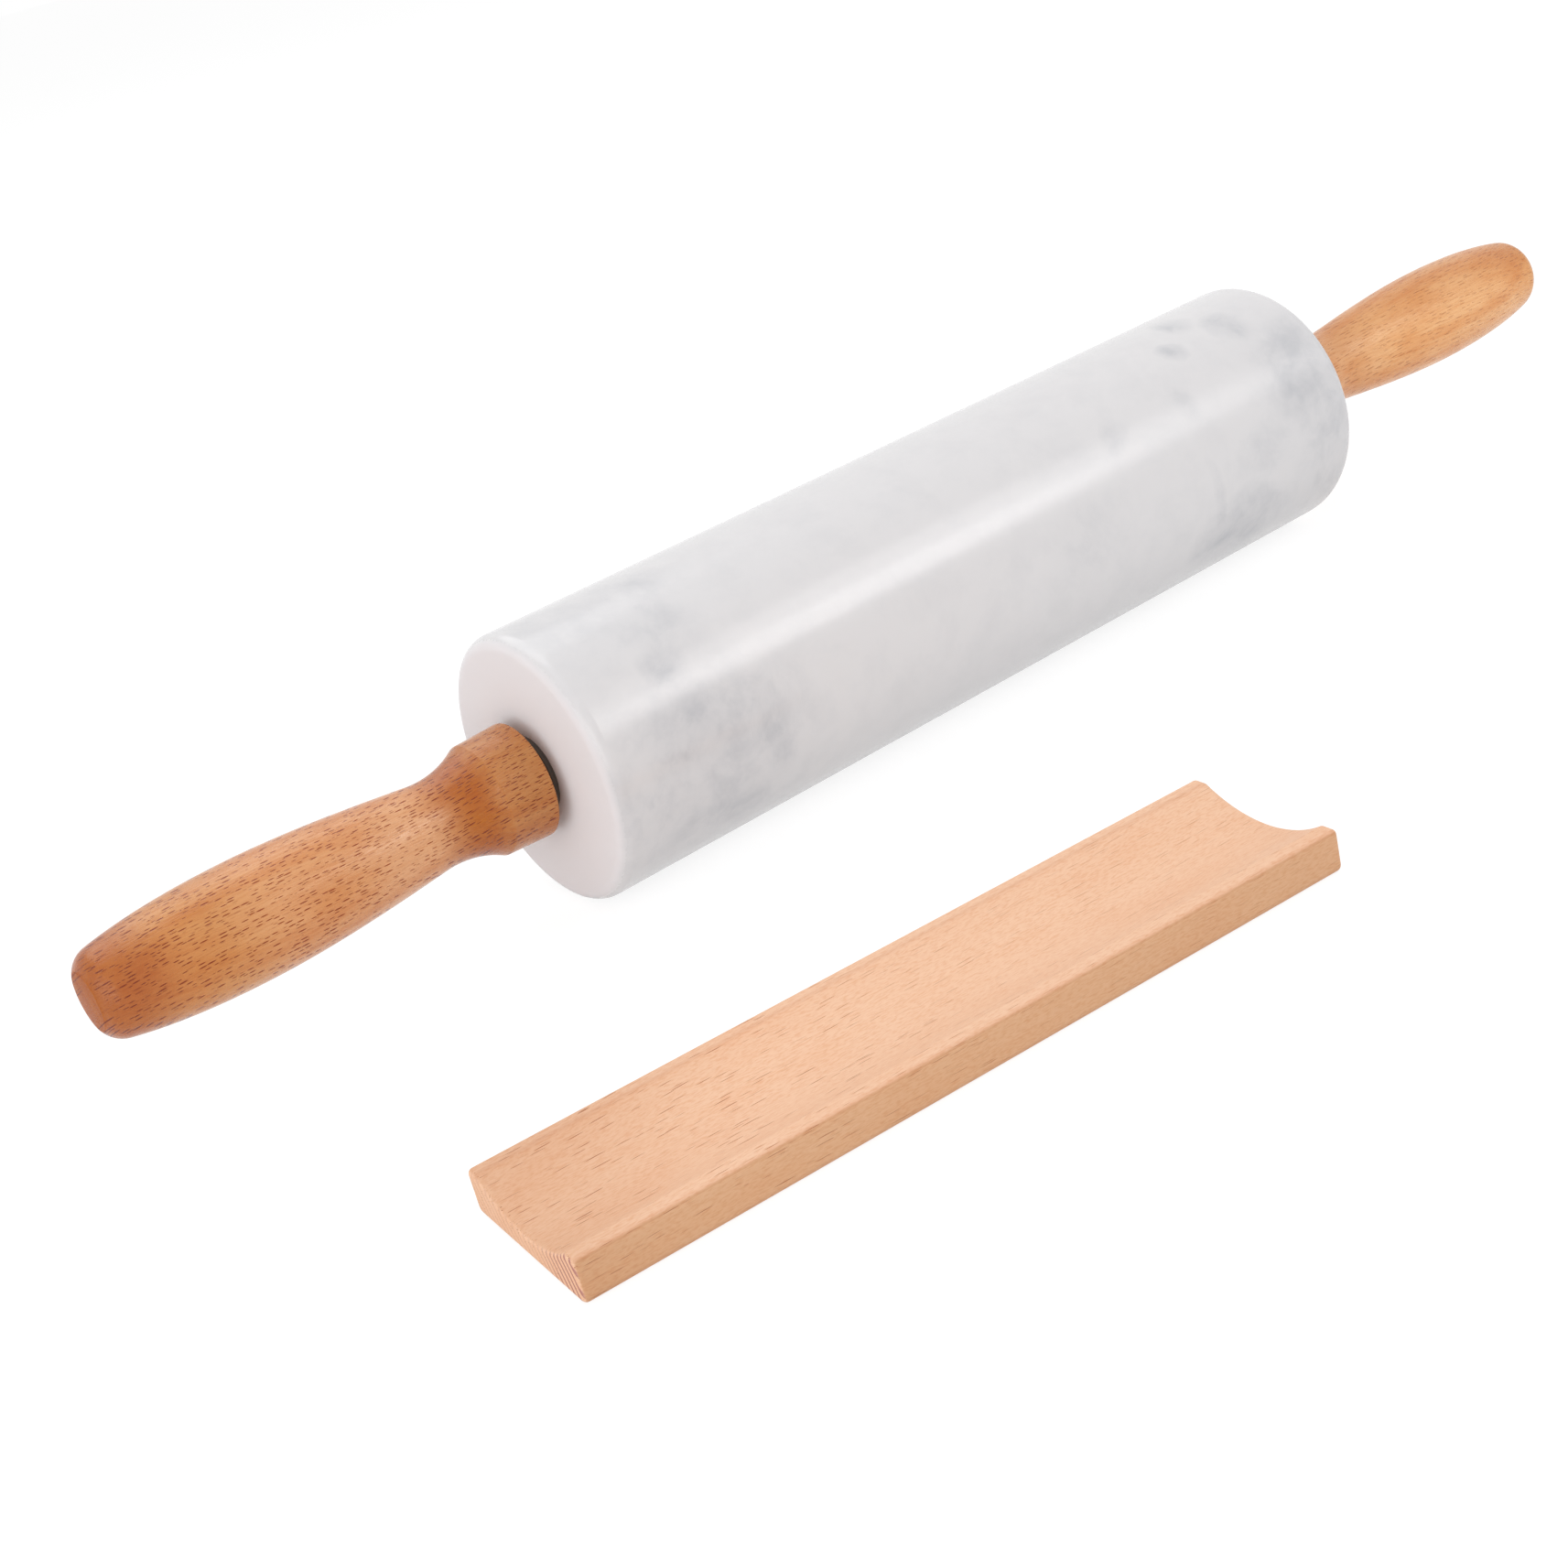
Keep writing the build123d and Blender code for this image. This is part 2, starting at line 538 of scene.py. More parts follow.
@dataclass(frozen=True)
class HonedMarble(Finish):
    """White marble, turned and honed: milky, softly clouded, with a dull sheen.

    Light goes a few millimetres into the calcite, which softens the shade at the rims. The
    honed skin is nearly smooth over its crystals, so a highlight is a broad soft band.
    """

    title: str = "honed_white_marble"
    ground: str = "#E1DFE0"
    # The grey of the clouds, which also colours the broad patches of painted shade
    cloud_and_shade_grey: str = "#A9ACB3"
    # The sawn end faces are ground flat, not honed: they read warmer, are hardly clouded and
    # mirror nothing of the handles. Their colour is painted lighter than the barrel's, as painted
    # light against the shade and the warm bounce that the handle throws on them
    face: str = "#EDE9EB"
    face_share: float = 0.8
    face_roughness: float = 0.7
    face_cut: Span = (0.6, 0.99)
    radius: float = 32.25
    roughness: float = 0.22
    roughness_spread: float = 0.05
    # Marble's calcite has an index near 1.5, as glass has
    index: float = 1.5
    # How far light goes into white calcite, the red a little further, and how much of the
    # light does
    glow_depth: float = 2.5
    glow_colours: Triple = (1.0, 0.97, 0.95)
    glow_share: float = 0.22
    # The clouds' edges wander by so much, over so long a stretch
    wander: float = 15.0
    wander_size: float = 30.0
    # The mottling: its size, the noise that it runs through, and how strongly the clouds
    # show at both ends of that
    mottle_size: float = 9.0
    mottle_noise: Span = (0.3, 0.75)
    mottle_strength: Span = (0.45, 1.4)
    # The mottling between the clouds: the noise that it runs through, and how grey it gets
    faint_noise: Span = (0.45, 0.75)
    faint_depth: float = 0.1
    # A calcite crystal is 0.3 to 1 mm across
    crystal_size: float = 0.6
    crystal_noise: Span = (0.42, 0.58)
    crystal_relief: float = 0.0015
    # The two broad patches at the near end, high up and low at the front, are painted shade, and
    # the patches low on the front of the near end are deepened by painted shade; the rest are the
    # stone's clouds
    clouds: tuple[Cloud, ...] = (
        Cloud(-95, 40, 9, 6, 70, 0.6),
        Cloud(-90, 56, 16, 11, 60, 0.2),
        Cloud(-84, 84, 17, 8, 60, 0.2),
        Cloud(-104, 76, 30, 20, 0, 0.16),
        Cloud(-92, 8, 18, 10, 0, 0.3),
        Cloud(-77, -8, 20, 6, 85, 0.34),
        Cloud(-88, -34, 18, 10, 20, 0.22),
        Cloud(-100, -10, 42, 30, 0, 0.34),
        Cloud(22, 5, 10, 16, 60, 0.14),
        Cloud(45, 42, 8, 5, 80, 0.24),
        Cloud(69, 38, 8, 5, 80, 0.3),
        Cloud(76, -32, 20, 14, 0, 0.62),
        Cloud(68, -6, 12, 3, 85, 0.3),
        Cloud(86, 4, 8, 11, 80, 0.18),
        Cloud(77, 63, 7, 4, 70, 0.8),
        Cloud(87, 80, 15, 6, 60, 0.7),
        Cloud(97, 66, 18, 6, 65, 0.6),
        Cloud(106, 40, 30, 18, 70, 0.2),
        Cloud(100, 24, 7, 3, 60, 0.16),
        Cloud(112, 0, 26, 36, 0, 0.32),
        Cloud(-60, 170, 44, 20, 20, 0.4),
        Cloud(50, 150, 38, 16, -25, 0.4),
    )

    def sockets(self, tree: Tree, where: Node, source: Node) -> dict:
        """Lay the clouds and the painted shade in the white ground, and the crystals in the skin.

        Args:
            tree: The material's tree.
            where: The shaded point in the barrel's frame, in millimetres.
            source: The texture coordinates, for the surface's own direction.

        Returns:
            The shader's inputs.
        """
        grey = self.clouded(tree, where)
        inputs = {"Factor": grey, "A": linear(self.ground), "B": linear(self.cloud_and_shade_grey)}
        honed = add(tree, "Mix", inputs, data_type="RGBA")
        cut = squareness(tree, source, self.yaw, self.face_cut)
        share = add(tree, "Math", {0: cut, 1: self.face_share}, operation="MULTIPLY")
        inputs = {"Factor": share, "A": honed, "B": linear(self.face)}
        colour = add(tree, "Mix", inputs, data_type="RGBA")
        inputs = {"Vector": where, "Scale": 1 / self.crystal_size, "Detail": 2.0}
        crystals = add(tree, "TexNoise", inputs)
        sheens = (self.roughness - self.roughness_spread, self.roughness + self.roughness_spread)
        inputs = {"Value": crystals} | spans(self.crystal_noise, sheens)
        polish = add(tree, "MapRange", inputs)
        inputs = {"Factor": cut, "A": polish, "B": self.face_roughness}
        sheen = add(tree, "Mix", inputs)
        inputs = {"Height": crystals, "Distance": self.crystal_relief * MM}
        relief = add(tree, "Bump", inputs)
        return {
            "Base Color": colour,
            "Roughness": sheen,
            "Normal": relief,
            "IOR": self.index,
            "Subsurface Weight": self.glow_share,
            "Subsurface Radius": self.glow_colours,
            "Subsurface Scale": self.glow_depth * MM,
        }

    def clouded(self, tree: Tree, where: Node) -> Node:
        """Work out how grey the marble is at a point, from its clouds and from the patches of
        painted shade.

        Args:
            tree: The material's tree.
            where: The shaded point in the barrel's frame, in millimetres.

        Returns:
            A node that gives 0 for the white ground and 1 for the greyest vein.
        """
        half = (0.5, 0.5, 0.5)
        inputs = {"Vector": where, "Scale": 1 / self.wander_size, "Detail": 4.0}
        drift = add(tree, "TexNoise", inputs)
        inputs = {0: drift.outputs["Color"], 1: half}
        centred = add(tree, "VectorMath", inputs, operation="SUBTRACT")
        inputs = {0: centred, 1: (self.wander,) * 3, 2: where}
        moved = add(tree, "VectorMath", inputs, operation="MULTIPLY_ADD")
        total: Node | float = 0.0
        for cloud in self.clouds:
            turn = radians(cloud.lift)
            inputs = {
                "Vector": moved,
                "Location": (cloud.station, -self.radius * cos(turn), self.radius * sin(turn)),
                "Rotation": (-turn, radians(cloud.lean), 0.0),
                "Scale": (cloud.length, cloud.breadth, cloud.breadth),
            }
            local = add(tree, "Mapping", inputs, vector_type="TEXTURE")
            falloff = add(tree, "TexGradient", {"Vector": local}, gradient_type="SPHERICAL")
            inputs = {0: falloff.outputs["Fac"], 1: cloud.depth, 2: total}
            total = add(tree, "Math", inputs, operation="MULTIPLY_ADD")
        inputs = {"Vector": moved, "Scale": 1 / self.mottle_size, "Detail": 7.0, "Roughness": 0.6}
        mottle = add(tree, "TexNoise", inputs)
        inputs = {"Value": mottle} | spans(self.mottle_noise, self.mottle_strength)
        patchy = add(tree, "MapRange", inputs, interpolation_type="SMOOTHSTEP")
        placed = add(tree, "Math", {0: total, 1: patchy}, operation="MULTIPLY")
        inputs = {"Value": mottle} | spans(self.faint_noise, (0.0, self.faint_depth))
        faint = add(tree, "MapRange", inputs)
        return add(tree, "Math", {0: placed, 1: faint}, operation="ADD", use_clamp=True)


@dataclass(frozen=True)
class Beech(Finish):
    """Steamed beech: a close even wood, pinkish brown, full of short dark ray flecks.

    A ray is a thin lens of cells that stands on edge in the trunk. Cut across its radius,
    the wood shows it as a dark dash a few millimetres long, in line with the grain.

    Attributes:
        ground: The wood's own colour.
        ray_turn: How far the trunk's radius is turned from Z about X, in degrees.
        ray_spacing: How far apart the rays are along the grain, round and out from the
            trunk's middle.
        ray_half: A ray's half sizes in the same three directions.
        ray_tint: What a ray multiplies the wood's colour by.
        ray_depth: How much of that tint shows.
        fibre_size: The sizes of a bundle of fibres in the same three directions. Real fibres
            are 0.02 mm thick, too fine to show, so these are bundles.
        fibre_tint: What a dark bundle multiplies the wood's colour by.
        ring_size: The same sizes of a growth ring's shades.
        ring_tint: What late wood multiplies the wood's colour by.
        ring_noise: The noise at which late wood begins and at which it is full.
        blotch_size: The same sizes of the broad cloudy shades.
        blotch_tint: What these multiply the wood's colour by.
        streak_noise: The noise at which a blotch or a bundle begins and at which it is full.
        gloss: How strongly long grain mirrors, where a smooth varnish is 0.5.
        end_gloss: How strongly end grain does, whose open pores scatter the light.
        end_cut: How squarely the wood is cut where that begins and where it is full.
        roughness: The surface's roughness.
        roughness_spread: How far that falls and rises with the fibres.
        relief: How deep the rays and fibres stand in the surface.
    """

    ground: str = "#F3C8A8"
    ray_turn: float = 62.0
    ray_spacing: Triple = (2.2, 0.7, 24.0)
    ray_half: Triple = (1.05, 0.14, 21.0)
    ray_tint: str = "#B48458"
    ray_depth: float = 1.0
    fibre_size: Triple = (7.0, 0.3, 0.8)
    fibre_tint: str = "#F4E8DC"
    ring_size: Triple = (60.0, 14.0, 2.2)
    ring_tint: str = "#F7EADC"
    ring_noise: Span = (0.42, 0.64)
    blotch_size: Triple = (26.0, 12.0, 12.0)
    blotch_tint: str = "#F5E6D4"
    streak_noise: Span = (0.4, 0.7)
    gloss: float = 0.3
    end_gloss: float = 0.02
    end_cut: Span = (0.8, 0.98)
    roughness: float = 0.3
    roughness_spread: Span = (0.04, 0.06)
    relief: float = 0.03

    def sockets(self, tree: Tree, where: Node, source: Node) -> dict:
        """Lay the blotches, rings, fibres and rays over the wood's colour.

        Args:
            tree: The material's tree.
            where: The shaded point in the piece's frame, in millimetres.
            source: The texture coordinates, for the surface's own direction.

        Returns:
            The shader's inputs.
        """
        wood = self.trunk(tree, where)
        colour = self.stained(tree, where, wood, source)
        blotches = self.streaks(tree, wood, self.blotch_size, self.streak_noise)
        rings = self.streaks(tree, wood, self.ring_size, self.ring_noise)
        fibres = self.streaks(tree, wood, self.fibre_size, self.streak_noise)
        rays = self.rays(tree, wood)
        flecks = add(tree, "Math", {0: rays, 1: self.ray_depth}, operation="MULTIPLY")
        layers = [
            (blotches, self.blotch_tint),
            (rings, self.ring_tint),
            (fibres, self.fibre_tint),
            (flecks, self.ray_tint),
        ]
        colour = tinted(tree, colour, layers)
        dents = add(tree, "Math", {0: rays, 1: fibres}, operation="ADD")
        inputs = {"Height": dents, "Distance": self.relief * MM}
        grooves = add(tree, "Bump", inputs, invert=True)
        fall, rise = self.roughness_spread
        sheens = (self.roughness - fall, self.roughness + rise)
        sheen = add(tree, "MapRange", {"Value": fibres} | spans(WHOLE, sheens))
        cut = squareness(tree, source, self.yaw, self.end_cut)
        glosses = (self.gloss, self.end_gloss)
        shine = add(tree, "MapRange", {"Value": cut} | spans(WHOLE, glosses))
        return {
            "Base Color": colour,
            "Roughness": sheen,
            "Normal": grooves,
            "Specular IOR Level": shine,
        }

    def trunk(self, tree: Tree, where: Node) -> Node:
        """Turn a point to the trunk's own directions, along a grain that wanders a little.

        Args:
            tree: The material's tree.
            where: The shaded point in the piece's frame, in millimetres.

        Returns:
            A node that gives the point along the grain, round and out from the middle.
        """
        meander, stretch = 2.4, (1 / 60, 1 / 25, 1 / 25)
        inputs = {"Vector": where, "Rotation": (radians(self.ray_turn), 0.0, 0.0)}
        square = add(tree, "Mapping", inputs)
        slow = add(tree, "VectorMath", {0: square, 1: stretch}, operation="MULTIPLY")
        inputs = {"Vector": slow, "Scale": 1.0, "Detail": 1.0}
        drift = add(tree, "TexNoise", inputs)
        inputs = {0: drift.outputs["Color"], 1: (0.0, meander, meander), 2: square}
        return add(tree, "VectorMath", inputs, operation="MULTIPLY_ADD")

    def streaks(self, tree: Tree, wood: Node, size: Triple, soft: Span) -> Node:
        """Make soft streaks of real sizes.

        Args:
            tree: The material's tree.
            wood: The point in the trunk's directions.
            size: The streaks' sizes along the grain, round and out from the middle.
            soft: The noise at which a streak begins and at which it is full.

        Returns:
            A node that gives the streaks' strength.
        """
        pace = tuple(1 / length for length in size)
        scaled = add(tree, "VectorMath", {0: wood, 1: pace}, operation="MULTIPLY")
        noise = add(tree, "TexNoise", {"Vector": scaled, "Scale": 1.0, "Detail": 3.0})
        inputs = {"Value": noise} | spans(soft)
        return add(tree, "MapRange", inputs, interpolation_type="SMOOTHSTEP")

    def rays(self, tree: Tree, wood: Node) -> Node:
        """Make the ray flecks, each a lens of its own length in its own cell of the wood.

        Args:
            tree: The material's tree.
            wood: The point in the trunk's directions.

        Returns:
            A node that gives how much of a ray shows at the point.
        """
        # By chance a ray is so much smaller or larger, and is missing below the first chance
        # and strong above the second. It fades from the first share of its size to the whole
        sizes, chances, rim = (0.55, 1.25), (0.1, 0.5), (0.6, 1.0)
        pace = tuple(1 / length for length in self.ray_spacing)
        reach = tuple(gap / half for gap, half in zip(self.ray_spacing, self.ray_half))
        scaled = add(tree, "VectorMath", {0: wood, 1: pace}, operation="MULTIPLY")
        cell = add(tree, "TexVoronoi", {"Vector": scaled, "Scale": 1.0, "Randomness": 1.0})
        inputs = {0: scaled, 1: cell.outputs["Position"]}
        offset = add(tree, "VectorMath", inputs, operation="SUBTRACT")
        inside = add(tree, "VectorMath", {0: offset, 1: reach}, operation="MULTIPLY")
        distance = add(tree, "VectorMath", {0: inside}, operation="LENGTH")
        chance = add(tree, "SeparateColor", {"Color": cell.outputs["Color"]})
        inputs = {"Value": chance.outputs["Red"]} | spans(WHOLE, sizes)
        size = add(tree, "MapRange", inputs)
        ratio = add(tree, "Math", {0: distance, 1: size}, operation="DIVIDE")
        inputs = {"Value": ratio} | spans(rim, (1.0, 0.0))
        lens = add(tree, "MapRange", inputs, interpolation_type="SMOOTHSTEP")
        inputs = {"Value": chance.outputs["Green"]} | spans(chances)
        strength = add(tree, "MapRange", inputs)
        return add(tree, "Math", {0: lens, 1: strength}, operation="MULTIPLY")

    def stained(self, tree: Tree, where: Node, wood: Node, source: Node) -> Node:
        """Give the wood's colour before its grain. Each finish has its own.

        Args:
            tree: The material's tree.
            where: The shaded point in the piece's frame, in millimetres.
            wood: The same point in the trunk's directions.
            source: The texture coordinates, for the surface's own direction.

        Returns:
            A node that gives the colour.
        """
        raise NotImplementedError


@dataclass(frozen=True)
class Stain:
    """How the oil colours a stretch of the handle.

    Attributes:
        start: Where along the handle the colour begins to change.
        full: Where it has changed wholly.
        colour: The colour from there on.
    """

    start: float
    full: float
    colour: str


@dataclass(frozen=True)
class OiledBeech(Beech):
    """Beech that was turned, sanded and oiled: warm brown with a soft, low sheen.

    End grain drinks more oil than long grain, so the ridge, the cove and the tip, where
    the turning cuts across the grain, come out darker.

    Attributes:
        stains: The oil's colour from the collar to the tip.
        end_tint: What end grain multiplies the colour by.
        soaked_cut: How squarely the wood is cut where that begins and where it is full.
        painted_top_shade: The painted shade on the side that lies uppermost, which multiplies the
            colour.
        painted_top_shade_slope: How far up the wood faces where that begins and where it is full.
    """

    stains: tuple[Stain, ...] = ()
    end_tint: str = "#F6EFDC"
    soaked_cut: Span = (0.12, 0.7)
    # Painted shade on the top, where the wood faces up; white leaves none
    painted_top_shade: str = "#FFFFFF"
    painted_top_shade_slope: Span = (0.35, 1.0)

    def stained(self, tree: Tree, where: Node, wood: Node, source: Node) -> Node:
        """Colour the wood by its place along the handle and by how it is cut, and lay painted
        shade on its top.

        Args:
            tree: The material's tree.
            where: The shaded point in the handle's frame, in millimetres.
            wood: The same point in the trunk's directions, which this finish doesn't need.
            source: The texture coordinates, for the surface's own direction.

        Returns:
            A node that gives the colour.
        """
        along = add(tree, "SeparateXYZ", {"Vector": where})
        colour: Node | tuple = linear(self.ground)
        for stain in self.stains:
            inputs = {"Value": along} | spans((stain.start, stain.full))
            share = add(tree, "MapRange", inputs, interpolation_type="SMOOTHSTEP")
            inputs = {"Factor": share, "A": colour, "B": linear(stain.colour)}
            colour = add(tree, "Mix", inputs, data_type="RGBA")
        # Painted shade on the side that faces up
        facing = add(tree, "SeparateXYZ", {"Vector": source.outputs["Normal"]})
        inputs = {"Value": facing.outputs["Z"]} | spans(self.painted_top_shade_slope)
        painted_top_shade_mask = add(tree, "MapRange", inputs)
        cut = squareness(tree, source, self.yaw, self.soaked_cut)
        return tinted(tree, colour, [(painted_top_shade_mask, self.painted_top_shade), (cut, self.end_tint)])


@dataclass(frozen=True)
class SandedBeech(Beech):
    """Beech that was planed, scooped and sanded, and left bare: pale peach and dull.

    Its rays show as thin brown lines on the long sides, and its growth rings as fine
    reddish lines on the ends.
    """

    title: str = "sanded_bare_beech"
    ray_turn: float = -65.0
    ray_spacing: Triple = (5.2, 0.52, 0.7)
    ray_half: Triple = (2.4, 0.06, 0.16)
    ray_tint: str = "#B98C6B"
    # The rays thin out from one station to the other, down to this share of their depth
    ray_fade: Span = (-60.0, 35.0)
    ray_rest: float = 0.45
    fibre_size: Triple = (1.4, 0.3, 0.3)
    fibre_tint: str = "#F7ECE4"
    ring_size: Triple = (160.0, 30.0, 1.2)
    ring_tint: str = "#FEFCFA"
    blotch_tint: str = "#FDF9F6"
    roughness: float = 0.6
    relief: float = 0.01
    # Growth rings nearly two millimetres apart on the sawn ends: their colour, how much they
    # waver, and which part of each wave is dark
    ring_pitch: float = 1.8
    ring_line: str = "#BC847C"
    ring_waver: float = 0.6
    ring_dark: Span = (0.5, 0.9)
    # They show by this share at the first place across the block, and wholly at the second
    ring_way: Span = (-3.0, -16.0)
    ring_rest: float = 0.2
    sawn_cut: Span = (0.5, 0.9)
    # The long sides are painted darker and browner than the planed top: painted shade, where they
    # stand square to the front and back
    painted_side_shade: str = "#EBE3D4"
    painted_side_shade_slope: Span = (0.6, 0.9)
    # Painted shade darkens the wood towards the trough's left corner at the back, between these
    # two reaches in that direction
    painted_corner_shade_way: Triple = (-0.8, 0.6, 0.0)
    painted_corner_shade_reach: Span = (28.0, 78.0)
    painted_corner_shade: str = "#EEE6DF"
    # Painted shade draws thin darker lines along the back of the trough and along the front
    # arris,
    # where the edges turn: where across the block, how wide, and from which height up
    painted_edge_shade_places: tuple[float, float] = (17.5, -20.75)
    painted_edge_shade_width: float = 1.1
    painted_edge_shade_height: float = 8.8
    painted_edge_shade: str = "#F6EEE9"

    def rays(self, tree: Tree, wood: Node) -> Node:
        """Make the ray flecks, which thin out towards the right end.

        Args:
            tree: The material's tree.
            wood: The point in the trunk's directions.

        Returns:
            A node that gives how much of a ray shows at the point.
        """
        along = add(tree, "SeparateXYZ", {"Vector": wood})
        inputs = {"Value": along} | spans(self.ray_fade, (1.0, self.ray_rest))
        share = add(tree, "MapRange", inputs, interpolation_type="SMOOTHSTEP")
        inputs = {0: super().rays(tree, wood), 1: share}
        return add(tree, "Math", inputs, operation="MULTIPLY")

    def stained(self, tree: Tree, where: Node, wood: Node, source: Node) -> Node:
        """Draw the growth rings on the sawn ends, and lay the painted shade of the long sides, of
        the edge lines and of the back left corner over them.

        Args:
            tree: The material's tree.
            where: The shaded point in the cradle's frame, in millimetres.
            wood: The same point in the trunk's directions.
            source: The texture coordinates, for the surface's own direction.

        Returns:
            A node that gives the colour.
        """
        # Blender's bands are a tenth of pi apart at a scale of one
        scale = pi / 10 / self.ring_pitch
        inputs = {"Vector": wood, "Scale": scale, "Distortion": self.ring_waver, "Detail": 1.0}
        bands = add(tree, "TexWave", inputs, bands_direction="Z")
        inputs = {"Value": bands} | spans(self.ring_dark)
        lines = add(tree, "MapRange", inputs, interpolation_type="SMOOTHSTEP")
        across = add(tree, "SeparateXYZ", {"Vector": where})
        inputs = {"Value": across.outputs["Y"]} | spans(self.ring_way, (self.ring_rest, 1.0))
        front = add(tree, "MapRange", inputs, interpolation_type="SMOOTHSTEP")
        cut = squareness(tree, source, self.yaw, self.sawn_cut)
        shown = add(tree, "Math", {0: lines, 1: front}, operation="MULTIPLY")
        shown = add(tree, "Math", {0: shown, 1: cut}, operation="MULTIPLY")
        inputs = {"Factor": shown, "A": linear(self.ground), "B": linear(self.ring_line)}
        ringed = add(tree, "Mix", inputs, data_type="RGBA")
        # Painted shade towards the trough's back left corner, kept off the sawn ends
        inputs = {0: where, 1: self.painted_corner_shade_way}
        toward = add(tree, "VectorMath", inputs, operation="DOT_PRODUCT")
        inputs = {"Value": toward} | spans(self.painted_corner_shade_reach)
        shade = add(tree, "MapRange", inputs, interpolation_type="SMOOTHSTEP")
        corner = add(tree, "Math", {0: shade, 1: cut}, operation="SUBTRACT", use_clamp=True)
        # Painted shade on the long sides, which stand square to the front and back
        facing = add(tree, "SeparateXYZ", {"Vector": source.outputs["Normal"]})
        slope = add(tree, "Math", {0: facing.outputs["Y"]}, operation="ABSOLUTE")
        inputs = {"Value": slope} | spans(self.painted_side_shade_slope)
        side = add(tree, "MapRange", inputs, interpolation_type="SMOOTHSTEP")
        layers = [
            (corner, self.painted_corner_shade),
            (side, self.painted_side_shade),
            (self.painted_edge_shade_lines(tree, across), self.painted_edge_shade),
        ]
        return tinted(tree, ringed, layers)

    def painted_edge_shade_lines(self, tree: Tree, across: Node) -> Node:
        """Find the thin lines of painted shade along the trough's back edge and the front arris.

        Args:
            tree: The material's tree.
            across: The shaded point's coordinates in the cradle's frame, in millimetres.

        Returns:
            A node that gives how strongly the painted edge shade shows.
        """
        gaps = []
        for place in self.painted_edge_shade_places:
            offset = add(tree, "Math", {0: across.outputs["Y"], 1: place}, operation="SUBTRACT")
            gaps.append(add(tree, "Math", {0: offset}, operation="ABSOLUTE"))
        gap = add(tree, "Math", {0: gaps[0], 1: gaps[1]}, operation="MINIMUM")
        inputs = {"Value": gap} | spans((0.0, self.painted_edge_shade_width), (1.0, 0.0))
        line = add(tree, "MapRange", inputs, interpolation_type="SMOOTHSTEP")
        inputs = {0: across.outputs["Z"], 1: self.painted_edge_shade_height}
        top = add(tree, "Math", inputs, operation="GREATER_THAN")
        return add(tree, "Math", {0: line, 1: top}, operation="MULTIPLY")


@dataclass(frozen=True)
class GroundSteel(Finish):
    """Bright steel, turned and ground: fine rings round it draw each highlight out.

    The rings are 0.05 mm apart on the real axle, too fine to show, so they are coarser.
    """

    title: str = "ground_steel"
    colour: str = "#C4C3C0"
    scratched: str = "#A5A4A2"
    roughness: float = 0.26
    roughness_spread: Span = (0.08, 0.12)
    ring_pitch: float = 0.35
    # How far round and out a ring keeps its shade
    ring_run: float = 12.0
    relief: float = 0.004

    def sockets(self, tree: Tree, where: Node, source: Node) -> dict:
        """Draw the grinding rings round the axis.

        Args:
            tree: The material's tree.
            where: The shaded point in the pin's frame, in millimetres.
            source: The texture coordinates, which this finish doesn't need.

        Returns:
            The shader's inputs.
        """
        pace = (1 / self.ring_pitch, 1 / self.ring_run, 1 / self.ring_run)
        scaled = add(tree, "VectorMath", {0: where, 1: pace}, operation="MULTIPLY")
        rings = add(tree, "TexNoise", {"Vector": scaled, "Scale": 1.0, "Detail": 3.0})
        inputs = {"Factor": rings, "A": linear(self.colour), "B": linear(self.scratched)}
        colour = add(tree, "Mix", inputs, data_type="RGBA")
        fall, rise = self.roughness_spread
        sheens = (self.roughness - fall, self.roughness + rise)
        sheen = add(tree, "MapRange", {"Value": rings} | spans(WHOLE, sheens))
        relief = add(tree, "Bump", {"Height": rings, "Distance": self.relief * MM})
        return {"Base Color": colour, "Metallic": 1.0, "Roughness": sheen, "Normal": relief}


@dataclass(frozen=True)
class TurnedBrass(GroundSteel):
    """Brass bar, turned: warm yellow, with coarser tool rings than the ground steel."""

    title: str = "turned_brass"
    colour: str = "#D9B566"
    scratched: str = "#B38F48"
    roughness: float = 0.3
    ring_pitch: float = 0.5


@dataclass(frozen=True)
class MouldedNylon(Finish):
    """Nylon, moulded: dark grey and waxy, faintly mottled by the mould's fine texture. Its dark
    colour is partly the plastic's own and partly painted shade, for the narrow gap between handle
    and barrel where the bush shows.
    """

    title: str = "moulded_nylon"
    # Darker than the plastic alone: painted shade for the gap between handle and barrel
    colour: str = "#50463D"
    shade: str = "#473E36"
    mottle_size: float = 1.4
    relief: float = 0.01
    index: float = 1.53
    roughness: float = 0.45

    def sockets(self, tree: Tree, where: Node, source: Node) -> dict:
        """Mottle the plastic.

        Args:
            tree: The material's tree.
            where: The shaded point in the pin's frame, in millimetres.
            source: The texture coordinates, which this finish doesn't need.

        Returns:
            The shader's inputs.
        """
        mottle = add(tree, "TexNoise", {"Vector": where, "Scale": 1 / self.mottle_size})
        inputs = {"Factor": mottle, "A": linear(self.colour), "B": linear(self.shade)}
        colour = add(tree, "Mix", inputs, data_type="RGBA")
        relief = add(tree, "Bump", {"Height": mottle, "Distance": self.relief * MM})
        return {
            "Base Color": colour,
            "Roughness": self.roughness,
            "IOR": self.index,
            "Normal": relief,
        }


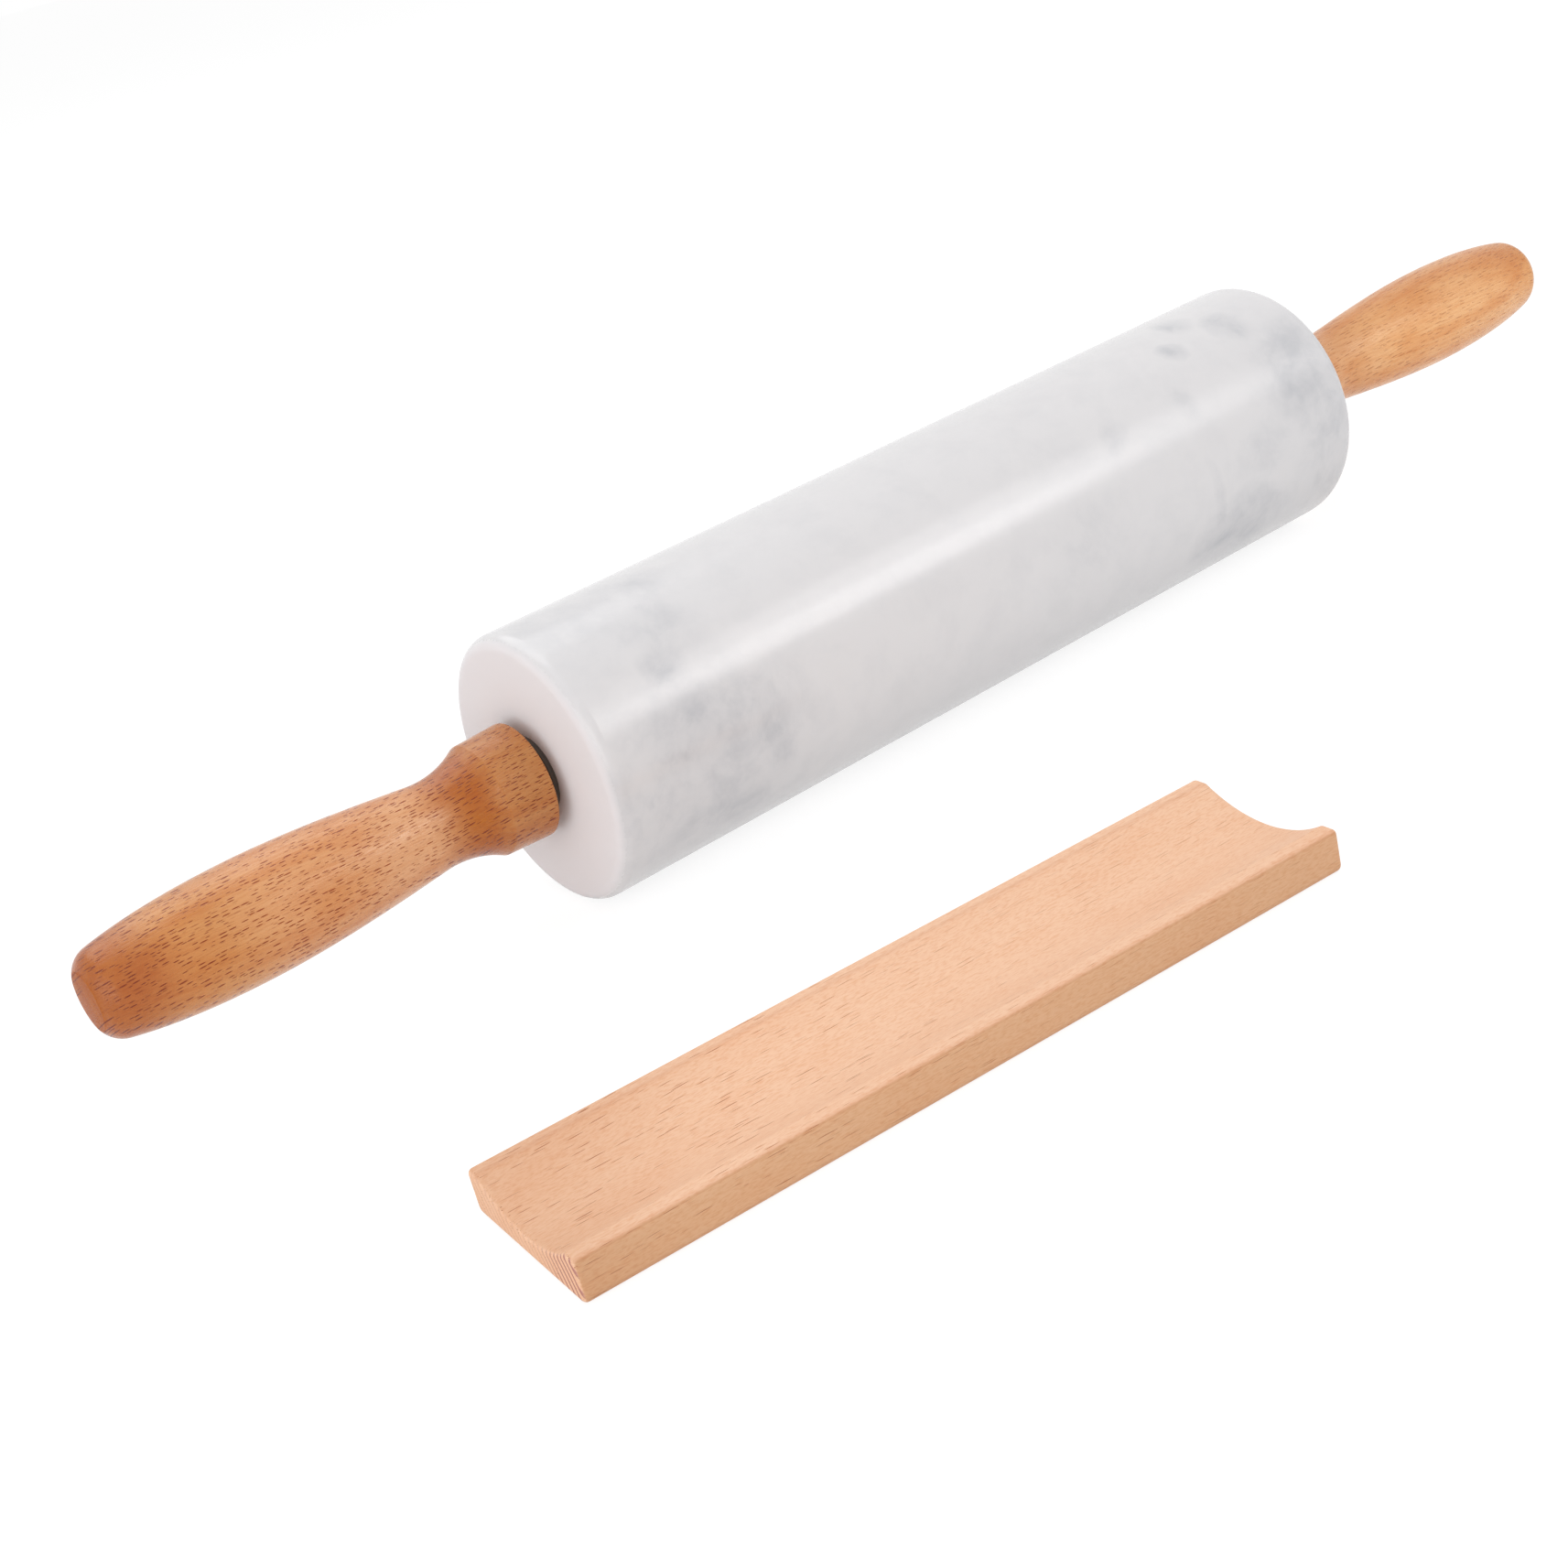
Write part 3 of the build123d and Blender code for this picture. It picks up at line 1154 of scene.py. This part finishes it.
@dataclass
class Pin:
    """Where the pin lies, read from the joint that it rolls on."""

    middle: Vector
    place: Matrix

    @classmethod
    def from_joint(cls, name: str) -> "Pin":
        """Read the pin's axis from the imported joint.

        Args:
            name: The joint that the barrel turns on.

        Returns:
            The pin's place.
        """
        joint = next(joint for joint in frame["joints"] if joint["name"] == name)
        middle, axis = Vector(joint["pos_m"]), Vector(joint["axis"]).normalized()
        yaw = atan2(axis.y, axis.x)
        return cls(middle, Matrix.Translation(middle) @ Matrix.Rotation(yaw, 4, "Z"))


@dataclass
class MarbleBarrel:
    """The bored marble cylinder with its rounded rims."""

    pin: Pin
    length: float = 238.0
    diameter: float = 64.5
    # A little softer than the solid's 2.6 mm, as a honed rim is
    rim_radius: float = 3.2
    bore_diameter: float = 14.0
    bore_chamfer: float = 0.8

    def build(self) -> bpy.types.Object:
        """Turn the barrel and hone it.

        Returns:
            The barrel.
        """
        outline, _ = traced(self.runs(), [0, 0, self.rim_radius, self.rim_radius])
        piece = turned("honed_barrel", outline, self.pin.place, closed=True)
        finish = HonedMarble(radius=self.diameter / 2).on(self.pin.place)
        piece.data.materials.append(finish.material())
        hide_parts("marble_barrel")
        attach(piece, Body.BARREL.value)
        return piece

    def runs(self) -> list[Run]:
        """Draw the section, from the bore round by the left face, the outside and the right.

        Returns:
            The bore, its left chamfer, the left face, the outside, the right face and its
            chamfer.
        """
        face, outer, bore = self.length / 2, self.diameter / 2, self.bore_diameter / 2
        mouth, inner = bore + self.bore_chamfer, face - self.bore_chamfer
        left = [(-inner, bore), (-face, mouth), (-face, outer)]
        return chain((inner, bore), *left, (face, outer), (face, mouth), (inner, bore))


@dataclass
class BeechHandle:
    """A turned handle: collar, ridge, cove, swell and rounded tip, bored for its insert."""

    pin: Pin
    end: End
    finish: OiledBeech
    collar_station: float = 122.3
    length: float = 106.1
    waist_station: float = 23.3
    waist_diameter: float = 19.8
    rise_angle: float = 6.3
    swell_station: float = 68.5
    swell_diameter: float = 26.2
    shoulder_length: float = 4.5
    shoulder_diameter: float = 20.4
    end_diameter: float = 13.4
    end_radius: float = 1.5
    end_dome: float = 0.25
    collar_length: float = 11.4
    face_diameter: float = 27.3
    ridge_diameter: float = 26.4
    face_ease: float = 0.5
    ridge_radius: float = 1.0
    seat_radius: float = 6.02
    seat_depth: float = 20.0
    pilot_radius: float = 4.3
    pilot_depth: float = 32.0
    arm_share: float = 1 / 3
    bend_share: float = 0.6

    def build(self) -> bpy.types.Object:
        """Turn the handle and oil it.

        Returns:
            The handle, in its place at its end of the pin.
        """
        radii = [0, 0, 0, 0, self.face_ease, self.ridge_radius, 0, 0, 0, self.end_radius]
        outline, _ = traced(self.bore() + self.outside(), radii)
        outward = Matrix.Rotation(pi if self.end is End.LEFT else 0.0, 4, "Z")
        collar = Matrix.Translation((self.collar_station * MM, 0, 0))
        place = self.pin.place @ outward @ collar
        piece = turned(f"turned_handle_{self.end.value}", outline, place, closed=False)
        piece.data.materials.append(self.finish.on(place).material())
        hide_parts(f"handle_{self.end.value}")
        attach(piece, Body.SPINDLE.value)
        return piece

    def bore(self) -> list[Run]:
        """Draw the stepped bore, from its blind end out to the collar's face.

        Returns:
            The bore's end, the pilot hole, the step, the insert's seat and the collar's face.
        """
        return chain(
            (self.pilot_depth, 0),
            (self.pilot_depth, self.pilot_radius),
            (self.seat_depth, self.pilot_radius),
            (self.seat_depth, self.seat_radius),
            (0, self.seat_radius),
            (0, self.face_diameter / 2),
        )

    def outside(self) -> list[Run]:
        """Draw the outside, from the collar's mouth round to the middle of the end.

        Returns:
            The collar, the cove, the swell's two curves, the shoulder and the end's dome.
        """
        cove_steps, swell_steps, taper_steps, end_steps = 40, 48, 40, 16
        mouth = (0, self.face_diameter / 2)
        ridge = (self.collar_length, self.ridge_diameter / 2)
        waist = (self.waist_station, self.waist_diameter / 2)
        swell = (self.swell_station, self.swell_diameter / 2)
        shoulder = (self.length - self.shoulder_length, self.shoulder_diameter / 2)
        rim = (self.length - self.end_dome, self.end_diameter / 2)
        rise, run = ridge[1] - waist[1], waist[0] - ridge[0]
        cove_radius = (run**2 + rise**2) / (2 * rise)
        cove_centre = Vector((waist[0], waist[1] + cove_radius))
        cove_start = atan2(ridge[1] - cove_centre.y, ridge[0] - cove_centre.x)
        heading = Vector((cos(radians(self.rise_angle)), sin(radians(self.rise_angle))))
        meeting = cove_centre + Vector((heading.y, -heading.x)) * cove_radius
        arm = self.arm_share * (swell[0] - meeting.x)
        leaving = meeting + heading * arm
        bend = (swell[0] + self.bend_share * (shoulder[0] - swell[0]), swell[1])
        controls = [tuple(meeting), tuple(leaving), (swell[0] - arm, swell[1]), swell]
        cove_end = radians(self.rise_angle) - pi / 2
        return [
            straight(mouth, ridge),
            arc(cove_centre, cove_radius, cove_start, cove_end, cove_steps),
            curve(controls, swell_steps),
            curve([swell, bend, shoulder], taper_steps),
            touching(bend, shoulder, rim, end_steps),
            dome(rim, self.length, end_steps),
        ]


@dataclass
class Bearings:
    """The carried-over pieces between the barrel and the handles, and the axle."""

    pin: Pin

    def dress(self) -> None:
        """Give each carried-over node its finish."""
        steel = GroundSteel().on(self.pin.place).material()
        brass = TurnedBrass().on(self.pin.place).material()
        nylon = MouldedNylon().on(self.pin.place).material()
        finishes = {
            "axle": steel,
            "thrust_washer_left": steel,
            "thrust_washer_right": steel,
            "threaded_insert_left": brass,
            "threaded_insert_right": brass,
            "bush_left": nylon,
            "bush_right": nylon,
        }
        for node, finish in finishes.items():
            frame["nodes"][node].data.materials.clear()
            frame["nodes"][node].data.materials.append(finish)


@dataclass
class Cradle:
    """The beech block with the scooped trough along its whole length."""

    length: float = 176.5
    width: float = 42.0
    height: float = 9.6
    rim_width: float = 3.8
    trough_radius: float = 34.35
    base_edge: float = 1.8
    outer_edge: float = 1.2
    # Sanding leaves these edges a little softer than the solid's 0.8 mm
    inner_edge: float = 1.5
    end_edge: float = 1.1
    trough_steps: int = 48

    def build(self) -> bpy.types.Object:
        """Loft the section along the grain, ease its ends and sand it.

        Returns:
            The cradle.
        """
        quarter, step_angle = 90, 15
        radii = [self.outer_edge, self.inner_edge, self.inner_edge]
        radii += [self.outer_edge, self.base_edge, self.base_edge]
        section, inward = traced(self.runs(), radii)
        steps = [radians(angle) for angle in range(0, quarter + 1, step_angle)]
        stations = [self.length / 2 - self.end_edge * (1 - cos(step)) for step in steps]
        insets = [self.end_edge * (1 - sin(step)) for step in steps]
        form = bmesh.new()
        rings = []
        places = [(-x, inset) for x, inset in zip(stations, insets)]
        places += [(x, inset) for x, inset in reversed(list(zip(stations, insets)))]
        for station, inset in places:
            ring = (section + inward * inset) * MM
            rings.append([form.verts.new((station * MM, across, up)) for across, up in ring])
        skin(form, rings)
        # The eased ends draw the trough's small corners in to a point
        bmesh.ops.remove_doubles(form, verts=form.verts, dist=SAME_POINT)
        rims = [edge for edge in form.edges if edge.is_boundary]
        caps = bmesh.ops.edgenet_fill(form, edges=rims)["faces"]
        bmesh.ops.triangulate(form, faces=caps, ngon_method="EAR_CLIP")
        piece = shaped("sanded_cradle", form, Matrix.Identity(4))
        piece.data.materials.append(SandedBeech().material())
        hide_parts("cradle")
        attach(piece, Body.CRADLE.value)
        return piece

    def runs(self) -> list[Run]:
        """Draw the section across the grain.

        Returns:
            The front side, the front rim, the trough, the back rim, the back side and the base.
        """
        half, top = self.width / 2, self.height
        trough = half - self.rim_width
        centre = (0.0, top + sqrt(self.trough_radius**2 - trough**2))
        start = atan2(top - centre[1], -trough) + 2 * pi
        end = atan2(top - centre[1], trough) + 2 * pi
        return [
            *chain((-half, 0), (-half, top), (-trough, top)),
            arc(centre, self.trough_radius, start, end, self.trough_steps),
            *chain((trough, top), (half, top), (half, 0), (-half, 0)),
        ]


@dataclass(frozen=True)
class Lamp:
    """A soft box over or beside the worktop, aimed at the pin.

    Attributes:
        name: The lamp's name.
        azimuth: Where it stands round the pin, in degrees from X.
        elevation: How high it stands, in degrees.
        distance: How far away, in metres.
        size: Its width and height, in metres.
        power: Its power, in watts.
    """

    name: str
    azimuth: float
    elevation: float
    distance: float
    size: tuple[float, float]
    power: float

    def hang(self, target: Vector) -> None:
        """Hang the lamp and aim it.

        Args:
            target: The point that it is aimed at, in metres.
        """
        data = bpy.data.lights.new(self.name, "AREA")
        data.shape = "ELLIPSE"
        data.size, data.size_y = self.size
        data.energy = self.power
        lamp = bpy.data.objects.new(self.name, data)
        turn, lift = radians(self.azimuth), radians(self.elevation)
        away = Vector((cos(turn) * cos(lift), sin(turn) * cos(lift), sin(lift)))
        lamp.location = target + away * self.distance
        lamp.rotation_euler = away.to_track_quat("Z", "Y").to_euler()
        lamp.visible_camera = False
        bpy.context.scene.collection.objects.link(lamp)


@dataclass
class Studio:
    """A white worktop under soft light, as for a catalogue picture."""

    target: Vector
    worktop_size: float = 8.0
    worktop: str = "#EAEAEA"
    # What the camera sees of the worktop's own light and shade, so that it reads as white
    # and keeps a faint shadow
    seen_worktop: str = "#8A8A8A"
    seen_glow: float = 0.84
    fill: float = 0.55
    lamps: tuple[Lamp, ...] = (
        Lamp("overhead", 100, 58, 1.5, (1.6, 1.6), 9.5),
        Lamp("key", -53, 30, 1.3, (0.6, 0.34), 1.5),
        Lamp("soft_key", -44, 34, 1.3, (0.6, 0.66), 2.2),
        Lamp("side", 212, 12, 1.2, (1.4, 1.0), 5.6),
    )

    def build(self) -> None:
        """Lay the worktop, hang the lamps and light the room."""
        self.lay_worktop()
        for lamp in self.lamps:
            lamp.hang(self.target)
        self.light_room()
        bpy.context.scene.view_settings.view_transform = "Standard"

    def lay_worktop(self) -> None:
        """Lay the white worktop that the pin and the cradle rest on."""
        half = self.worktop_size / 2
        form = bmesh.new()
        corners = [(-half, -half, 0), (half, -half, 0), (half, half, 0), (-half, half, 0)]
        form.faces.new([form.verts.new(corner) for corner in corners])
        floor = shaped("worktop", form, Matrix.Identity(4))
        material = bpy.data.materials.new("white_laminate_worktop")
        tree = emptied(material)
        seen = self.seen(tree)
        inputs = {"Factor": seen, "A": linear(self.worktop), "B": linear(self.seen_worktop)}
        colour = add(tree, "Mix", inputs, data_type="RGBA")
        glow = add(tree, "Math", {0: seen, 1: self.seen_glow}, operation="MULTIPLY")
        inputs = {
            "Base Color": colour,
            "Roughness": 0.9,
            "Specular IOR Level": 0.0,
            "Emission Color": linear("#FFFFFF"),
            "Emission Strength": glow,
        }
        shader = add(tree, "BsdfPrincipled", inputs)
        add(tree, "OutputMaterial", {"Surface": shader})
        floor.data.materials.append(material)

    def light_room(self) -> None:
        """Fill the room with even light, and show it white."""
        world = bpy.data.worlds.new("studio")
        bpy.context.scene.world = world
        tree = emptied(world)
        inputs = {"Value": self.seen(tree)} | spans(WHOLE, (self.fill, 1.0))
        strength = add(tree, "MapRange", inputs)
        light = add(tree, "Background", {"Color": linear("#FFFFFF"), "Strength": strength})
        add(tree, "OutputWorld", {"Surface": light})

    def seen(self, tree: Tree) -> Node:
        """Tell the rays that look from the ones that light.

        Args:
            tree: The tree that the nodes go into.

        Returns:
            A node that gives 1 to a ray from the camera and to one that was mirrored or let
            through, and 0 to any other.
        """
        rays = add(tree, "LightPath")
        inputs = {0: rays.outputs["Is Camera Ray"], 1: rays.outputs["Is Glossy Ray"]}
        direct = add(tree, "Math", inputs, operation="ADD")
        inputs = {0: direct, 1: rays.outputs["Is Transmission Ray"]}
        return add(tree, "Math", inputs, operation="ADD", use_clamp=True)


@dataclass(frozen=True)
class Camera:
    """The photograph's camera, fitted to the outlines of the barrel and the cradle.

    Attributes:
        position: Where it stands in the row frame, in millimetres.
        azimuth: Which way it looks round Z, in degrees from X.
        elevation: How far it looks up, in degrees.
        roll: How far it is turned about its line of sight, in degrees.
        focal_pixels: Its focal length in pixels of the photograph.
        picture_width: The photograph's width in pixels.
        sensor: The width of the film, in millimetres.
        reach: The nearest and the farthest that it sees, in metres.
    """

    position: Triple = (-194.706, -347.57, 237.4)
    azimuth: float = 62.933
    elevation: float = -24.247
    roll: float = 14.29
    focal_pixels: float = 2645.668
    picture_width: float = 1713.0
    sensor: float = 36.0
    reach: Span = (0.02, 20.0)

    def stand(self) -> None:
        """Put the camera in its place."""
        turn, lift = radians(self.azimuth), radians(self.elevation)
        ahead = Vector((cos(turn) * cos(lift), sin(turn) * cos(lift), sin(lift)))
        right = ahead.cross(Vector((0, 0, 1))).normalized()
        down = ahead.cross(right)
        roll = radians(self.roll)
        across = right * cos(roll) + down * sin(roll)
        below = down * cos(roll) - right * sin(roll)
        data = bpy.data.cameras.new("photograph")
        data.sensor_width = self.sensor
        data.lens = self.sensor * self.focal_pixels / self.picture_width
        data.clip_start, data.clip_end = self.reach
        camera = bpy.data.objects.new("photograph", data)
        bpy.context.scene.collection.objects.link(camera)
        axes = Matrix((across, -below, -ahead)).transposed().to_4x4()
        camera.matrix_world = Matrix.Translation(Vector(self.position) * MM) @ axes
        bpy.context.scene.camera = camera


def main() -> None:
    """Build each part of the picture in turn, and report each piece."""
    logging.basicConfig(level=logging.INFO, format="%(name)s: %(message)s")
    pin = Pin.from_joint("barrel_spin")
    Camera().stand()
    Studio(target=pin.middle).build()
    near_oil = OiledBeech(
        title="oiled_beech_left",
        ground="#C7874F",
        stains=(
            Stain(11, 16, "#B86B28"),
            Stain(18, 31, "#E5AC7F"),
            Stain(38, 54, "#E2A573"),
            Stain(62, 84, "#D7985E"),
            Stain(86, 101, "#B96C33"),
        ),
        ray_tint="#AC6C28",
        gloss=0.35,
        roughness=0.27,
    )
    far_oil = OiledBeech(
        title="oiled_beech_right",
        ray_turn=-62.0,
        ground="#EFB684",
        ray_spacing=(3.0, 0.9, 24.0),
        ray_half=(1.4, 0.15, 21.0),
        ray_depth=0.5,
        stains=(Stain(20, 40, "#F8C089"), Stain(85, 104, "#EAA865")),
        # Painted shade darkens this handle's top, under the overhead light
        painted_top_shade="#E6D9CC",
    )
    made = [
        MarbleBarrel(pin).build(),
        BeechHandle(pin, End.LEFT, near_oil).build(),
        BeechHandle(pin, End.RIGHT, far_oil).build(),
        Cradle().build(),
    ]
    Bearings(pin).dress()
    for piece in made:
        log.info("%s: %d faces", piece.name, len(piece.data.polygons))


if __name__ == "__main__":
    main()
